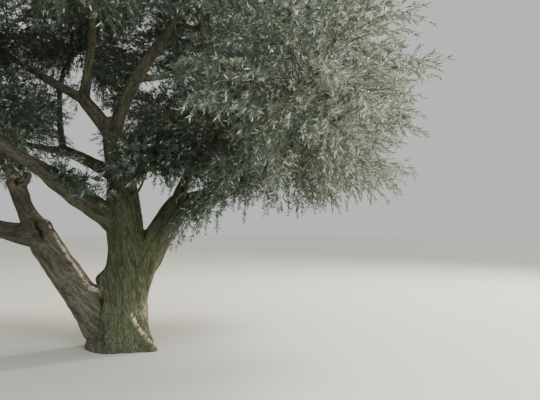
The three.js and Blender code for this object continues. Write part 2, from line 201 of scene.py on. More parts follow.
# The limbs, each after the one that carries it: its parent and where on it, where it goes, how far its middle is
# drawn off the straight line, its radii, and how long it holds its girth. One that forks goes by bearing, climb and
# reach, and the others head for the heart of a mass.
LIMBS = {
    "left_stem": ("trunk", 0.04, (182, 57, 2.6), (-0.12, 0, -0.04), (0.205, 0.088), 3),
    "right_stem": ("trunk", 0.04, (9, 66, 2.06), (-0.15, 0.02, 0.03), (0.215, 0.15), 2),
    "left_bough": ("trunk", 0.51, (197, 36, 1.48), (0, 0, 0.03), (0.135, 0.088), 1),
    "back_left_bough": ("trunk", 0.72, (150, 23, 1.32), (0, 0, 0.04), (0.095, 0.068), 1),
    "centre_left_bough": ("trunk", 0.92, (180, 50, 0.72), (0, 0, 0), (0.098, 0.08), 1),
    "centre_right_bough": ("trunk", 0.92, (0, 58, 1.79), (-0.105, 0, 0.125), (0.092, 0.066), 1),
    "left_stub": ("left_stem", 0.9, (60, 62, 0.29), (0, 0, 0), (0.072, 0.052), 1),
    "left_side_limb": ("left_stem", 0.65, "left", (-0.06, 0, -0.42), (0.134, 0.052), 1),
    "left_top_limb": ("left_stem", 0.94, "left_middle", (-0.06, 0, 0), (0.084, 0.048), 1),
    "left_front_limb": ("left_bough", 0.92, "left_front", (-0.12, 0.12, -0.16), (0.078, 0.04), 1),
    "left_back_limb": ("back_left_bough", 0.92, "left_back", (0, 0, -0.09), (0.06, 0.036), 1),
    "left_riser": ("back_left_bough", 0.95, "upper_left_back", (-0.11, -0.26, 0.22), (0.05, 0.034), 1),
    "far_left_limb": ("centre_left_bough", 0.88, "upper_left", (0, 0, -0.06), (0.064, 0.038), 1),
    "upright_limb": ("centre_left_bough", 0.86, "top", (-0.01, 0, 0), (0.07, 0.04), 1),
    "front_limb": ("upright_limb", 0.36, "front", (0.06, 0, 0.16), (0.052, 0.034), 1),
    "upper_left_front_limb": ("upright_limb", 0.55, "upper_left_front", (0, 0, -0.06), (0.044, 0.03), 1),
    "upper_right_limb": ("centre_right_bough", 0.92, "upper_right", (0, 0, -0.09), (0.054, 0.036), 1),
    "top_right_limb": ("centre_right_bough", 0.88, "top_right", (-0.07, 0, 0), (0.05, 0.034), 1),
    "upper_right_front_limb": ("centre_right_bough", 0.68, "upper_right_front", (0.06, 0, -0.09), (0.048, 0.032), 1),
    "upper_right_back_limb": ("centre_right_bough", 0.42, "upper_right_back", (0, 0.06, -0.12), (0.052, 0.034), 1),
    "right_out_limb": ("right_stem", 0.93, "right", (0, 0, -0.09), (0.122, 0.052), 1),
    "right_up_limb": ("right_stem", 0.9, "right_middle", (-0.14, 0, 0), (0.104, 0.05), 1),
    "right_front_limb": ("right_stem", 0.84, "right_front", (0.12, 0.06, -0.12), (0.092, 0.044), 1),
    "right_back_limb": ("right_stem", 0.87, "right_back", (0.06, 0, -0.12), (0.092, 0.046), 1),
    "back_limb": ("trunk", 0.8, "back", (0, 0, -0.14), (0.082, 0.042), 1),
    "centre_front_limb": ("trunk", 0.62, "centre_front", (0.06, 0, -0.04), (0.03, 0.018), 1),
}

# The skins of bark: the limbs that each covers, the size of its mesh, and how much the forks are rounded.
SKINS = {
    "trunk_and_stems": {
        "limbs": ("trunk", "left_stem", "right_stem", "left_bough", "left_stub", "left_side_limb"),
        "mesh": 0.0132, "rounding": 12,
    },
    "left_boughs": {
        "limbs": (
            "back_left_bough", "centre_left_bough", "left_top_limb", "left_front_limb", "left_back_limb", "left_riser",
            "far_left_limb", "upright_limb", "front_limb", "upper_left_front_limb",
        ),
        "mesh": 0.0115, "rounding": 5,
    },
    "right_boughs": {
        "limbs": (
            "centre_right_bough", "upper_right_limb", "top_right_limb", "upper_right_front_limb",
            "upper_right_back_limb", "right_out_limb", "right_up_limb", "right_front_limb", "right_back_limb",
            "back_limb", "centre_front_limb",
        ),
        "mesh": 0.0115, "rounding": 5,
    },
}
COLLAR = 0.22  # swelling of a limb's root, as a share of its radius
COLLAR_LENGTH = 1.6  # in radii

# Bark
GRAIN_STRETCH = 7.0  # bark runs this much further along a limb than round it
GRAIN_TWIST = 0.8  # turn of the grain round a limb, in radians for each metre
FORK_BLEND = 0.025  # over this difference in distance one limb's bark gives way to the next one's
FURROW = 0.08  # across, between two deep furrows
FISSURE = 0.024  # across, between two fine fissures
FURROW_WIDTH = 0.2  # in units of the noise
FURROW_SHARE = 0.75  # how deep a furrow is, before noise breaks it up
FURROW_HEFT = 0.7  # the power of a limb's relief that its furrows go by
# Layers of noise by kind: weight, size and seed of each
LAYERS = {
    "flutes": ((1, 0.15, 1), (0.55, 0.085, 2)),
    "knobs": ((1, 0.28, 3), (0.7, 0.11, 6)),
    "plates": ((1, FURROW, 4),),
    "wander": ((0.014, 0.14, 8),),
    "breaks": ((0.6, 0.2, 9),),
    "patches": ((0.3, 0.16, 15),),
    "mottle": ((0.2, 0.35, 14),),
}
RELIEF = {"flutes": 0.03, "knobs": 0.01, "plates": 0.005, "furrow": 0.005}
FULL_GIRTH = 0.2  # a limb of this radius has full relief, and a slimmer one less, but at least LEAST_RELIEF of it
LEAST_RELIEF = 0.16
LIMB_SHIFT = 7.3  # added along the grain from limb to limb, so that no two are alike
TO_FRONT = (0.39, -0.92, 0.0)
# Hollows in the left stem that face the front: how far up it, half their length and width, and their depth
HOLLOWS = (
    {"at": 0.67, "length": 0.15, "width": 0.02, "depth": 0.075},
    {"at": 0.945, "length": 0.045, "width": 0.04, "depth": 0.06},
)
HOLLOW_WAVE = (0.008, 40)  # how far a hollow winds to the side, and its turns in radians for each metre
LIPS = {"at": 2.0, "width": 0.8, "out": 0.01}  # the first two in half-widths of the hollow
# Burls, knuckles and dents: centre, size and how far each stands out or in
BURLS = (
    ((-0.15, -0.06, 0.88), 0.1, 0.12),
    ((-0.185, -0.04, 0.75), 0.11, 0.085),
    ((-0.27, -0.03, 0.68), 0.1, 0.05),
    ((-0.99, -0.05, 1.56), 0.09, 0.06),
    ((-1.08, -0.04, 1.86), 0.17, -0.06),
    ((-1.0, -0.06, 1.77), 0.12, -0.115),
    ((-1.2, -0.02, 1.2), 0.2, 0.045),
    ((-0.47, -0.08, 0.1), 0.18, 0.055),
    ((0.56, -0.26, 0.02), 0.17, 0.085),
    ((-0.86, -0.08, 1.4), 0.05, 0.026),
    ((-0.73, -0.08, 1.2), 0.05, 0.026),
    ((-0.58, -0.1, 0.99), 0.05, 0.028),
    ((-0.47, -0.08, 0.86), 0.04, 0.02),
    ((-0.2, -0.2, 0.7), 0.1, 0.045),
    ((-0.14, -0.24, 0.52), 0.12, 0.045),
    ((-0.09, -0.27, 0.34), 0.12, 0.03),
    ((-0.42, -0.05, 0.13), 0.07, 0.035),
    ((-0.17, -0.02, 1.5), 0.14, 0.034),
    ((-0.326, -0.13, 1.68), 0.16, 0.045),
    ((-0.549, -0.2, 1.87), 0.17, 0.055),
    ((-0.772, -0.26, 2.05), 0.17, 0.05),
)
# The worn crests, pale and reddish: worn wood, and a painted highlight along their lit edges. One runs along the left
# stem, from its front low down to its upper side; one runs down the root at the right, and winds out with it.
STEM_CREST = {
    "faces": (0.86, -0.12, 0.56), "along": (0.2, 0.31, 0.8), "turn": (16, 24, 8), "slim": 0.007, "out": 0.026,
    "ends": (0.04, 0.08), "near": (0.192, 0.032), "fades": ((0.4, 0.62), (1.0, 0.45)),
}
ROOT_CREST = {
    "bearing": -20, "wind": -30, "width": 0.02, "height": 0.5, "top": 0.1, "outward": (0.2, 0.26), "out": 0.028,
}
# The streaks that break them up run up to the left
STREAK_AXES = ((0.8, 0, 0.6), (0, 1, 0), (-0.6, 0, 0.8))
STREAK_SIZES = (0.03, 0.03, 0.11)
BROKEN = {"base": 0.68, "streaks": 1.5, "seed": 12, "most": 1.2}
LEAST_CREST = 0.4  # how much of its height a crest keeps where it is broken off
# Worn places, partly painted highlights: centre, size and how worn
WORN_AND_HIGHLIGHT_PLACES = (
    ((0.36, -0.1, 0.48), 0.12, 0.3),
    ((-1.27, -0.16, 2.22), 0.15, 0.4),
    ((-1.06, -0.02, 1.7), 0.09, 0.5),
    ((-0.29, -0.15, 0.78), 0.08, 0.4),
)
# Hues of the bark and its painted shade, by sums of ramps. Each has its share, its axis, 0 across or 2 up, and where it
# starts and stops.
HUES = {
    "brown_stem": ((0.85, 0, -0.17, -0.39),),
    "brown": (
        (0.3, 0, 0.08, -0.12),  # the trunk's left
        (0.2, 0, 0.3, 0.55),  # the right stem
        (0.3, 2, 0.75, 0.15),  # the foot
        (0.85, 2, 1.6, 2.4),  # the crown
    ),
    # Painted shade under the crown, fading high up in it, and more of it at the top of the left stem:
    "painted_shade": ((0.6, 2, 0.45, 1.95),),
    "clear_crown": ((0.7, 2, 2.6, 3.6),),
    "painted_shade_top": ((0.35, 2, 1.8, 2.05),),
    "stem_top": ((1, 0, -0.78, -1.08),),
}
PAINTED_SHADE_TOP = 0.35  # how much painted shade darkens the left stem from its upper part on, before the ramp by height is added
CLEAR_RIGHT = (0.4, 0.3)  # how much less painted shade the right side gets, and from where on
UNDER_BOUGH = (1.15, 0.85, 0.73)  # the left stem lies where z + the first of these * x is less than the others


def unit(v):
    """v over its length."""
    return v / np.maximum(np.linalg.norm(v, axis=-1, keepdims=True), 1e-12)


def ramp(value, start, stop):
    """From 0 at start to 1 at stop, evenly, and level beyond. The start may be the higher one."""
    return np.clip((value - start) / (stop - start), 0, 1)


def bells(points, rows):
    """Sum over the rows of height * exp(-(distance / size)^2) round each centre."""
    return sum(
        height * np.exp(-np.sum((points - np.array(centre)) ** 2, axis=1) / size**2)
        for centre, size, height in rows
    )


def bezier(ends, t):
    """Points at shares t of a curve from root to tip: (1-t)^2 root + 2t(1-t) control + t^2 tip."""
    root, control, tip = (np.asarray(e)[..., None, :] for e in ends)
    t = np.asarray(t)[..., None]
    return (1 - t) ** 2 * root + 2 * t * (1 - t) * control + t**2 * tip


def heading(ends, t):
    """Unit direction of that curve: (1-t)(control - root) + t(tip - control)."""
    root, control, tip = (np.asarray(e)[..., None, :] for e in ends)
    t = np.asarray(t)[..., None]
    return unit((1 - t) * (control - root) + t * (tip - control))


def bowed(root, tip, bow):
    """Root, control and tip of a curve whose middle is drawn off the straight line by bow."""
    root, tip = np.asarray(root, float), np.asarray(tip, float)
    return root, (root + tip) / 2 + 2 * np.asarray(bow), tip


def square_to(along):
    """A unit vector square to each direction."""
    up = np.where(np.abs(along[..., 2:]) < 0.9, [0.0, 0.0, 1.0], [1.0, 0.0, 0.0])
    return unit(np.cross(up, along))


def turned(v, about, angle):
    """v turned about a unit axis by Rodrigues' formula, for v square to the axis."""
    angle = np.asarray(angle)[..., None]
    return v * np.cos(angle) + np.cross(about, v) * np.sin(angle)


# Noise and random numbers, from the minimal standard generator
MULTIPLIER = 48271
MODULUS = 2**31 - 1


def noise(points, seed):
    """Smooth noise from about -1 to 1.

    Each whole-number corner round a point has a random gradient. The dot products of the gradients with the way to
    the point are blended by the smooth step 6t^5 - 15t^4 + 10t^3.
    """
    cell = np.floor(points).astype(np.int64)
    local = points - cell
    fade = local**3 * (local * (local * 6 - 15) + 10)
    total = np.zeros(len(points))
    for corner in itertools.product((0, 1), repeat=3):
        x, y, z = (cell + corner).T
        mixed = (x * 73856093) ^ (y * 19349663) ^ (z * 83492791) ^ (seed * 40503 + 7)
        mixed = (mixed ^ (mixed >> 13)) * 1274126177 & 0x7FFFFFFF
        gradient = np.stack([(mixed >> shift & 255) / 127.5 - 1 for shift in (3, 11, 19)], axis=1)
        weight = np.prod(np.where(corner, fade, 1 - fade), axis=1)
        total += weight * np.sum(gradient * (local - corner), axis=1)
    return 1.6 * total


def layered(points, kind):
    """Sum of the layers of noise of a kind: weight * noise(points / size)."""
    return sum(weight * noise(points / size, seed) for weight, size, seed in LAYERS[kind])


def dice(*numbers):
    """A random source for each place on the tree, seeded by the numbers of a mass, of a branch in it, of a place
    along that and of a try there. The numbers may be arrays."""
    state = np.int64(1)
    for number in numbers:
        state = state * 64 + np.asarray(number, dtype=np.int64) + 1
    state = np.array(state)

    def roll(low=0.0, high=1.0):
        """The next number: the state times the multiplier, modulo the modulus, laid off from low to high."""
        nonlocal state
        state = state * MULTIPLIER % MODULUS
        return low + (high - low) * (state / MODULUS)

    for _ in range(3):
        roll()
    return roll


# Space of a mass: a flattened ball round its heart, less what lies nearer to another mass by the same measure
def depth_in(mass, points):
    """How far inside the space of its mass each point lies, at least. mass holds one number for each point."""
    flat = np.array([1, 1, 1 / SQUASH])
    here, hearts = points * flat, HEARTS * flat
    mine, radius = hearts[mass], RADII[mass]
    to_mine = np.linalg.norm(here - mine, axis=-1)
    depth = radius - to_mine
    for other, (heart, size) in enumerate(zip(hearts, RADII)):
        apart = np.linalg.norm(heart - mine, axis=-1)
        power = np.sum((here - heart) ** 2, axis=-1) - size**2 - to_mine**2 + radius**2
        plane = power / (2 * np.maximum(apart, 1e-9))
        depth = np.where(mass == other, depth, np.minimum(depth, plane))
    return depth * SQUASH


# Skeleton
LENGTH_STEPS = 200  # a limb's length is the sum of this many


def trunk_radius(ends, t, angle):
    """Waist that narrows as t^2.5, plus a foot that dies away with height, plus root flutes that die away faster.

    A flute at bearing b adds cos(angle - b)^6 on its own side. The angle starts at the front, a quarter turn
    before +X.
    """
    height = np.maximum(bezier(ends, t)[..., 2], 0)
    radius = WAIST[0] + (WAIST[1] - WAIST[0]) * t**TRUNK_HOLD + FLARE * np.exp(-height / FLARE_HEIGHT)
    for bearing, out in FLUTES:
        facing = np.maximum(np.cos(angle - math.pi / 2 - math.radians(bearing)), 0)
        radius = radius + out * facing**FLUTE_SHARPNESS * np.exp(-height / FLUTE_HEIGHT)
    return radius


def limb_radius(limb, t):
    """Radius from thick at the root to thin at the end, plus a collar, and then on down to the stem's tip."""
    thick, thin = limb["girth"]
    end, length = limb["end"], limb["length"]
    collar = COLLAR * thick * np.exp(-t * length / (COLLAR_LENGTH * thick))
    radius = thick + (thin - thick) * np.minimum(t / end, 1) ** limb["hold"] + collar
    if end < 1:
        radius = np.where(t > end, thin + (STEM_TIP - thin) * (t - end) / (1 - end), radius)
    return radius


def skeleton():
    """Every limb with its curve, where it enters its mass, its girth and its length."""
    limbs = {
        "trunk": {
            "ends": bowed((0, 0, -BELOW_GROUND), (TRUNK_LEAN, 0, TRUNK_HEIGHT), (TRUNK_BOW, 0, 0)),
            "end": 1.0, "to": None, "girth": WAIST, "hold": TRUNK_HOLD, "length": TRUNK_HEIGHT + BELOW_GROUND,
        }
    }
    for name, (parent, at, way, bow, girth, hold) in LIMBS.items():
        root = bezier(limbs[parent]["ends"], [at])[0]
        to = way if isinstance(way, str) else None
        if to:
            tip = np.array(MASSES[to][0])
        else:
            bearing, climb, reach = math.radians(way[0]), math.radians(way[1]), way[2]
            tip = root + reach * np.array([
                math.cos(climb) * math.cos(bearing), math.cos(climb) * math.sin(bearing), math.sin(climb),
            ])
        ends = bowed(root, tip, bow)
        steps = np.linalg.norm(np.diff(bezier(ends, np.linspace(0, 1, LENGTH_STEPS + 1)), axis=0), axis=1)
        end = 1.0
        if to:
            mass = np.array([MASS_NAMES.index(to)])
            wanted = max(RADII[mass[0]] * (1 - ENTRY) * SQUASH, girth[1] + CELL_GAP)
            while depth_in(mass, bezier(ends, [end - ENTRY_STEP]))[0] > wanted:
                end -= ENTRY_STEP
        limbs[name] = {"ends": ends, "end": end, "to": to, "girth": girth, "hold": hold, "length": steps.sum()}
    return limbs


SKELETON = skeleton()


def frames_along(ends, shares):
    """Directions along, across and over at each share, with across carried from one to the next without turning."""
    along = heading(ends, shares)
    across = [square_to(along[0])]
    for direction in along[1:]:
        last = across[-1]
        across.append(unit(last - np.dot(last, direction) * direction))
    across = np.array(across)
    return along, across, np.cross(along, across)


# Meshes from arrays
LIMB_ROWS = 40  # rings along a limb
LIMB_SIDES = 32
DOME_ROWS = 6  # and on the dome at its end


def placed(name, data):
    """A new object in the scene."""
    made = bpy.data.objects.new(name, data)
    bpy.context.collection.objects.link(made)
    return made


def mesh_object(name, vertices, triangles, materials, material_index=None, smooth=True):
    """A mesh piece from arrays of corners and triangles."""
    mesh = bpy.data.meshes.new(name)
    mesh.vertices.add(len(vertices))
    mesh.vertices.foreach_set("co", np.asarray(vertices, dtype=np.float32).ravel())
    mesh.loops.add(3 * len(triangles))
    mesh.loops.foreach_set("vertex_index", np.asarray(triangles, dtype=np.int32).ravel())
    mesh.polygons.add(len(triangles))
    mesh.polygons.foreach_set("loop_start", np.arange(0, 3 * len(triangles), 3, dtype=np.int32))
    if material_index is not None:
        mesh.polygons.foreach_set("material_index", np.asarray(material_index, dtype=np.int32))
    mesh.update(calc_edges=True)
    mesh.polygons.foreach_set("use_smooth", np.full(len(triangles), smooth))
    for material in materials:
        mesh.materials.append(material)
    return placed(name, mesh)


def tube_grid(rings):
    """Corners and triangles of closed tubes, from rings of shape (tubes, rows, sides, 3).

    Side faces join each ring to the next, and each end is closed by a fan from its ring's first corner.
    """
    tubes, rows, sides, _ = rings.shape
    row, side = np.meshgrid(np.arange(rows - 1), np.arange(sides), indexing="ij")
    a = (row * sides + side).ravel()
    b = (row * sides + (side + 1) % sides).ravel()
    walls = np.concatenate([np.stack([a, b, b + sides], 1), np.stack([a, b + sides, a + sides], 1)])
    fan = np.arange(1, sides - 1)
    first = np.stack([0 * fan, fan + 1, fan], 1)
    last = np.stack([0 * fan, fan, fan + 1], 1) + (rows - 1) * sides
    faces = np.concatenate([walls, first, last])
    every = (faces[None] + (np.arange(tubes) * rows * sides)[:, None, None]).reshape(-1, 3)
    return rings.reshape(-1, 3), every


def rings_round(centre, across, over, angle, radius):
    """The corners of a ring round each centre: centre + radius (cos(angle) across + sin(angle) over)."""
    sideways = np.cos(angle)[:, None] * across[..., None, :] + np.sin(angle)[:, None] * over[..., None, :]
    return centre[..., None, :] + radius * sideways


def limb_grid(name):
    """A limb as a closed tube: rings of radius r(t, angle) square to its curve, closed to a dome at its far end."""
    limb = SKELETON[name]
    tip_radius = WAIST[1] if name == "trunk" else limb_radius(limb, np.array(1.0))
    dome = tip_radius / limb["length"]
    body = np.linspace(0, 1 - dome, LIMB_ROWS)
    cap = 1 - dome * (1 - np.sin(np.linspace(0, math.pi / 2, DOME_ROWS + 1)[1:]))
    t = np.concatenate([body, cap])
    _, across, over = frames_along(limb["ends"], t)
    angle = np.linspace(0, 2 * math.pi, LIMB_SIDES, endpoint=False)
    shares, angles = np.meshgrid(t, angle, indexing="ij")
    radius = trunk_radius(limb["ends"], shares, angles) if name == "trunk" else limb_radius(limb, shares)
    rounding = np.sqrt(np.clip(1 - (np.maximum(t - 1 + dome, 0) / dome) ** 2, 0.01, 1))
    radius = radius * rounding[:, None]
    return tube_grid(rings_round(bezier(limb["ends"], t), across, over, angle, radius[..., None])[None])


def merged(grids):
    """Several grids of corners and triangles as one."""
    starts = np.cumsum([0] + [len(vertices) for vertices, _ in grids[:-1]])
    vertices = np.concatenate([vertices for vertices, _ in grids])
    return vertices, np.concatenate([faces + start for (_, faces), start in zip(grids, starts)])


# Where on the skeleton a point lies
STRETCHES = 28
FAR = 100.0
NEARBY = 0.45  # a point farther than this from a limb is not measured from it


def place_on_limbs(points, names):
    """How far each point is from the nearest of these limbs, which one that is, how far along it the point lies, and
    the point's offset from its middle line, across and over it.

    Each limb is cut into straight stretches, and the distance to a stretch less the radius there is compared.
    """
    gap = np.full(len(points), FAR)
    which = np.zeros(len(points), dtype=np.int64)
    share = np.zeros(len(points))
    offset = np.zeros((len(points), 2))
    for number, name in enumerate(names):
        limb = SKELETON[name]
        t = np.linspace(0, 1, STRETCHES + 1)
        centre = bezier(limb["ends"], t)
        _, across, over = frames_along(limb["ends"], t)
        reach = limb_radius(limb, t).max() + NEARBY
        near = np.flatnonzero(np.all((points > centre.min(0) - reach) & (points < centre.max(0) + reach), axis=1))
        here = points[near]
        for i in range(STRETCHES):
            step = centre[i + 1] - centre[i]
            along = np.clip((here - centre[i]) @ step / (step @ step), 0, 1)
            away = here - centre[i] - along[:, None] * step
            at = t[i] + along / STRETCHES
            off = np.linalg.norm(away, axis=1) - limb_radius(limb, at)
            closer = off < gap[near]
            rows = near[closer]
            gap[rows] = off[closer]
            which[rows] = number
            share[rows] = at[closer]
            offset[rows] = np.column_stack([away[closer] @ across[i], away[closer] @ over[i]])
    return gap, which, share, offset


# Bark
def bark_on(points, names):
    """Relief of the bark of these limbs at each point, how deep in a furrow it lies, its grain coordinates, and its
    distance from the limbs.

    The grain coordinates are the offset from the middle line, turned by the grain's twist, and the length along the
    limb over the stretch, so that noise on them is drawn out along the limb. Flutes are slow noise, and furrows lie
    where faster noise is near zero: exp(-(n / width)^2).
    """
    gap, which, share, offset = place_on_limbs(points, names)
    girth = np.ones(len(points))
    run = np.zeros(len(points))
    for number, name in enumerate(names):
        mine = which == number
        limb = SKELETON[name]
        girth[mine] = limb_radius(limb, share[mine])
        run[mine] = share[mine] * limb["length"] + LIMB_SHIFT * number
    turn = GRAIN_TWIST * run
    grain = np.column_stack([
        offset[:, 0] * np.cos(turn) - offset[:, 1] * np.sin(turn),
        offset[:, 0] * np.sin(turn) + offset[:, 1] * np.cos(turn),
        run / GRAIN_STRETCH,
    ])
    flutes, knobs = layered(grain, "flutes"), layered(points, "knobs")
    plates = layered(grain + layered(points, "wander")[:, None], "plates")
    furrow = np.exp(-((plates / FURROW_WIDTH) ** 2)) * np.clip(FURROW_SHARE + layered(points, "breaks"), 0, 1)
    heft = np.clip(girth / FULL_GIRTH, LEAST_RELIEF, 1)
    raised = RELIEF["flutes"] * flutes + RELIEF["knobs"] * knobs + RELIEF["plates"] * plates
    out = heft * raised - RELIEF["furrow"] * heft**FURROW_HEFT * furrow
    return out, furrow, grain, gap


def hollow_share(points):
    """How deep in a hollow each point lies, 1 in the middle, and how far the bark is sunk there.

    Each hollow is exp(-(s/length)^4 - (side/width)^2), with s along the left stem and side round it. Its lips are the
    same along the stem, and raised beside it.
    """
    ends = SKELETON["left_stem"]["ends"]
    front = np.array(TO_FRONT)
    wave, turns = HOLLOW_WAVE
    total = np.zeros(len(points))
    depth = np.zeros(len(points))
    for hollow in HOLLOWS:
        along = heading(ends, [hollow["at"]])[0]
        away = points - bezier(ends, [hollow["at"]])[0]
        faces_front = away @ front > 0
        s = away @ along
        side = away @ unit(np.cross(along, front)) + wave * np.sin(turns * s)
        rim = (np.abs(side) / hollow["width"] - LIPS["at"]) / LIPS["width"]
        bell = np.exp(-((s / hollow["length"]) ** 4) - (side / hollow["width"]) ** 2) * faces_front
        lips = np.exp(-((s / hollow["length"]) ** 4) - rim**2)
        total = np.maximum(total, bell)
        depth += hollow["depth"] * bell - LIPS["out"] * lips * faces_front
    return total, depth


def crests(points):
    """How worn each point is, partly a painted highlight, from 0 to 1, and how far the crest stands out there.

    A point on the left stem is worn as its way from the middle line nears the crest's own: exp(-((1 - cos) / slim)^2).
    A point on the root is worn by its distance from the root's upright plane, and worn places are bells. Noise breaks
    them all up.
    """
    limb = SKELETON["left_stem"]
    gap, _, share, offset = place_on_limbs(points, ["left_stem"])
    index = np.clip(np.round(share * STRETCHES).astype(int), 0, STRETCHES)
    along, across, over = (v[index] for v in frames_along(limb["ends"], np.linspace(0, 1, STRETCHES + 1)))
    away = unit(offset[:, :1] * across + offset[:, 1:] * over)
    turn = np.radians(np.interp(share, STEM_CREST["along"], STEM_CREST["turn"]))[:, None]
    way = np.cos(turn) * unit(np.array(STEM_CREST["faces"])) + np.sin(turn) * np.array(TO_FRONT)
    way = unit(way - np.sum(way * along, axis=1, keepdims=True) * along)
    facing = np.sum(away * way, axis=1)
    low, *_, high = STEM_CREST["along"]
    first, last = STEM_CREST["ends"]
    ends = ramp(share, low, low + first) * ramp(share, high, high - last)
    strip = np.exp(-(((1 - facing) / STEM_CREST["slim"]) ** 2)) * ends * ramp(gap, *STEM_CREST["near"])
    winding = ROOT_CREST["wind"] * ramp(points[:, 2], 0, ROOT_CREST["height"])
    bearing = np.radians(ROOT_CREST["bearing"] + winding)
    aside = points[:, 0] * np.sin(bearing) - points[:, 1] * np.cos(bearing)
    outward = points[:, 0] * np.cos(bearing) + points[:, 1] * np.sin(bearing)
    root = np.exp(-((aside / ROOT_CREST["width"]) ** 2)) * ramp(outward, *ROOT_CREST["outward"])
    root = root * ramp(points[:, 2], ROOT_CREST["height"], ROOT_CREST["height"] - ROOT_CREST["top"])
    strip = strip * np.interp(share, *STEM_CREST["fades"])
    streaks = BROKEN["streaks"] * noise(points @ np.array(STREAK_AXES) / np.array(STREAK_SIZES), BROKEN["seed"])
    broken = np.clip(BROKEN["base"] + streaks + layered(points, "patches"), 0, BROKEN["most"])
    worn_and_highlight = np.clip((strip + root + bells(points, WORN_AND_HIGHLIGHT_PLACES)) * broken, 0, 1)
    height = STEM_CREST["out"] * strip + ROOT_CREST["out"] * root
    return worn_and_highlight, height * (LEAST_CREST + (1 - LEAST_CREST) * broken)


def hue_and_painted_shade(points):
    """How brown the bark is at each point, against olive, and how much painted shade darkens it.

    It is brown on the left stem and in the crown, a little so at the foot and on the trunk's left and the right stem.
    Painted shade darkens it under the crown and at the top of the left stem, less so on the right and high up in the
    crown. Each of these is share * ramp.
    """
    by = {
        key: sum(share * ramp(points[:, axis], start, stop) for share, axis, start, stop in rows)
        for key, rows in HUES.items()
    }
    slope, *edge = UNDER_BOUGH
    on_stem = ramp(points[:, 2] + slope * points[:, 0], *edge)
    brown = by["brown_stem"] * on_stem + by["brown"] + layered(points, "mottle")
    less, from_here = CLEAR_RIGHT
    painted_shade = by["painted_shade"] * (1 - by["clear_crown"]) * (1 - less * (points[:, 0] > from_here))
    painted_shade = painted_shade + (PAINTED_SHADE_TOP + by["painted_shade_top"]) * by["stem_top"] * on_stem
    return np.clip(brown, 0, 1), np.clip(painted_shade, 0, 1)


def by_turns(names):
    """The limbs in two sets, each limb in the other set than the one that carries it."""
    rank = {"trunk": 0}
    for name, (parent, *_) in LIMBS.items():
        rank[name] = 1 - rank[parent]
    return [[name for name in names if rank[name] == turn] for turn in (0, 1)]


def ground_cut(mesh):
    """Cuts a mesh flat at the ground and closes the cut with a flat face in triangles."""
    work = bmesh.new()
    work.from_mesh(mesh)
    everything = work.verts[:] + work.edges[:] + work.faces[:]
    cut = bmesh.ops.bisect_plane(work, geom=everything, plane_co=(0, 0, 0), plane_no=(0, 0, -1), clear_outer=True)
    rim = [edge for edge in cut["geom_cut"] if isinstance(edge, bmesh.types.BMEdge)]
    if rim:
        faces = bmesh.ops.edgeloop_fill(work, edges=rim)["faces"]
        for face in faces:
            face.normal_update()
            if face.normal.z > 0:
                face.normal_flip()
        bmesh.ops.triangulate(work, faces=faces)
    work.to_mesh(mesh)
    work.free()


def corner_array(mesh, key):
    """The places or the normals of a mesh's corners."""
    values = np.empty(3 * len(mesh.vertices), dtype=np.float32)
    mesh.vertices.foreach_get(key, values)
    return values.reshape(-1, 3)


def skin(name, names, size, rounding, material):
    """One continuous skin over several limbs: their tubes remeshed together, smoothed, and raised by the bark."""
    vertices, faces = merged([limb_grid(limb) for limb in names])
    rough = mesh_object(name + "_rough", vertices, faces, [])
    remesh = rough.modifiers.new("weld", "REMESH")
    remesh.mode = "VOXEL"
    remesh.voxel_size = size
    soften = rough.modifiers.new("soften", "SMOOTH")
    soften.factor = 0.5
    soften.iterations = rounding
    mesh = bpy.data.meshes.new_from_object(rough.evaluated_get(bpy.context.evaluated_depsgraph_get()))
    bpy.data.objects.remove(rough)

    places, normals = (corner_array(mesh, key) for key in ("co", "normal"))
    places = places.astype(float)
    even, odd = (bark_on(places, some) for some in by_turns(names))
    mix = 1 / (1 + np.exp(np.clip((odd[3] - even[3]) / FORK_BLEND, -30, 30)))
    out, furrow = (even[i] * (1 - mix) + odd[i] * mix for i in (0, 1))
    hollow, depth = hollow_share(places)
    worn_and_highlight, crest = crests(places)
    out = out * (1 - hollow) + bells(places, BURLS) + crest - depth
    brown, painted_shade = hue_and_painted_shade(places)
    mesh.vertices.foreach_set("co", (places + normals * out[:, None]).astype(np.float32).ravel())
    for key, values in (("even_grain", even[2]), ("odd_grain", odd[2])):
        layer = mesh.attributes.new(key, "FLOAT_VECTOR", "POINT")
        layer.data.foreach_set("vector", values.astype(np.float32).ravel())
    for key, values in (
        ("odd", mix), ("furrow", furrow), ("hollow", hollow), ("worn_and_highlight", worn_and_highlight), ("brown", brown), ("painted_shade", painted_shade),
    ):
        mesh.attributes.new(key, "FLOAT", "POINT").data.foreach_set("value", values.astype(np.float32))
    ground_cut(mesh)
    mesh.polygons.foreach_set("use_smooth", np.full(len(mesh.polygons), True))
    mesh.materials.clear()
    mesh.materials.append(material)
    mesh.update()
    return placed(name, mesh)


# Foliage
LIMB_BALLS = 24  # on each limb
POINTS_AT_ONCE = 20000


def balls_on_limbs():
    """Centres and radii of balls set closely along every limb, up to where it enters its mass."""
    places, girths = [], []
    for limb in SKELETON.values():
        t = np.linspace(0, limb["end"], LIMB_BALLS)
        places.append(bezier(limb["ends"], t))
        girths.append(limb_radius(limb, t))
    return np.concatenate(places), np.concatenate(girths)


BALL_PLACES, BALL_GIRTHS = balls_on_limbs()


def clear_of_limbs(points, room):
    """Whether each point is farther than room from every ball on the limbs."""
    clear = np.ones(len(points), dtype=bool)
    marks = np.sum(BALL_PLACES**2, axis=1)
    for start in range(0, len(points), POINTS_AT_ONCE):
        part = points[start:start + POINTS_AT_ONCE]
        squares = np.sum(part**2, axis=1)[:, None] + marks - 2 * part @ BALL_PLACES.T
        gaps = np.sqrt(np.maximum(squares, 0)) - BALL_GIRTHS
        clear[start:start + POINTS_AT_ONCE] = gaps.min(axis=1) > room
    return clear


